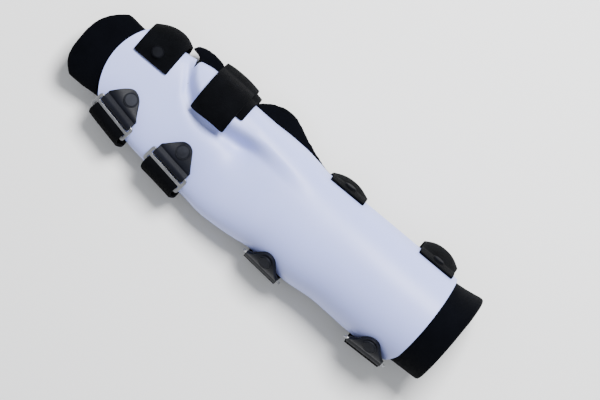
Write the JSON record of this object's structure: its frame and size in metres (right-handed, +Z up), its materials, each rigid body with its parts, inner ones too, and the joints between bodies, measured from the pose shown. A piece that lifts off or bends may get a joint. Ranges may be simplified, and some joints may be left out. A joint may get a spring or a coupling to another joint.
{
  "type": "thumb wrist resting splint",
  "caption": "Right-hand palmar resting splint for wrist, fingers and thumb: moulded shell with soft liner, riveted straps and metal slides, lying palmar side up.",
  "frame": {"origin": "under the middle of the splint's box, on the surface that it lies on", "axes": "+X along the forearm to the fingertips, +Y to the little-finger side, +Z up, out of the palmar face"},
  "size_m": [0.4332, 0.133, 0.084],
  "materials": {
    "shell": "smooth moulded sheet with a soft satin sheen, cool pale blue-white",
    "felt": "short-napped black felt facing on foam",
    "strap": "black brushed loop webbing with bound edges",
    "tab": "black coated strap leather, satin, fine grain",
    "steel": "bright nickel-plated wire and strip",
    "rivet": "black-nickel domed caps"
  },
  "bodies": {
    "root": {"shell": "shell", "liner": "felt", "thumb_liner": "felt", "thumb_strap": "strap", "finger_strap": "strap", "finger_tab": "tab", "finger_slide": "steel", "finger_tab_rivet": "rivet", "finger_strap_rivet": "rivet", "hand_strap": "strap", "hand_tab": "tab", "hand_slide": "steel", "hand_tab_rivet": "rivet", "wrist_strap": "strap", "wrist_tab": "tab", "wrist_slide": "steel", "wrist_tab_rivet": "rivet", "wrist_strap_rivet": "rivet", "forearm_strap": "strap", "forearm_tab": "tab", "forearm_slide": "steel", "forearm_tab_rivet": "rivet", "forearm_strap_rivet": "rivet"}
  },
  "joints": []
}
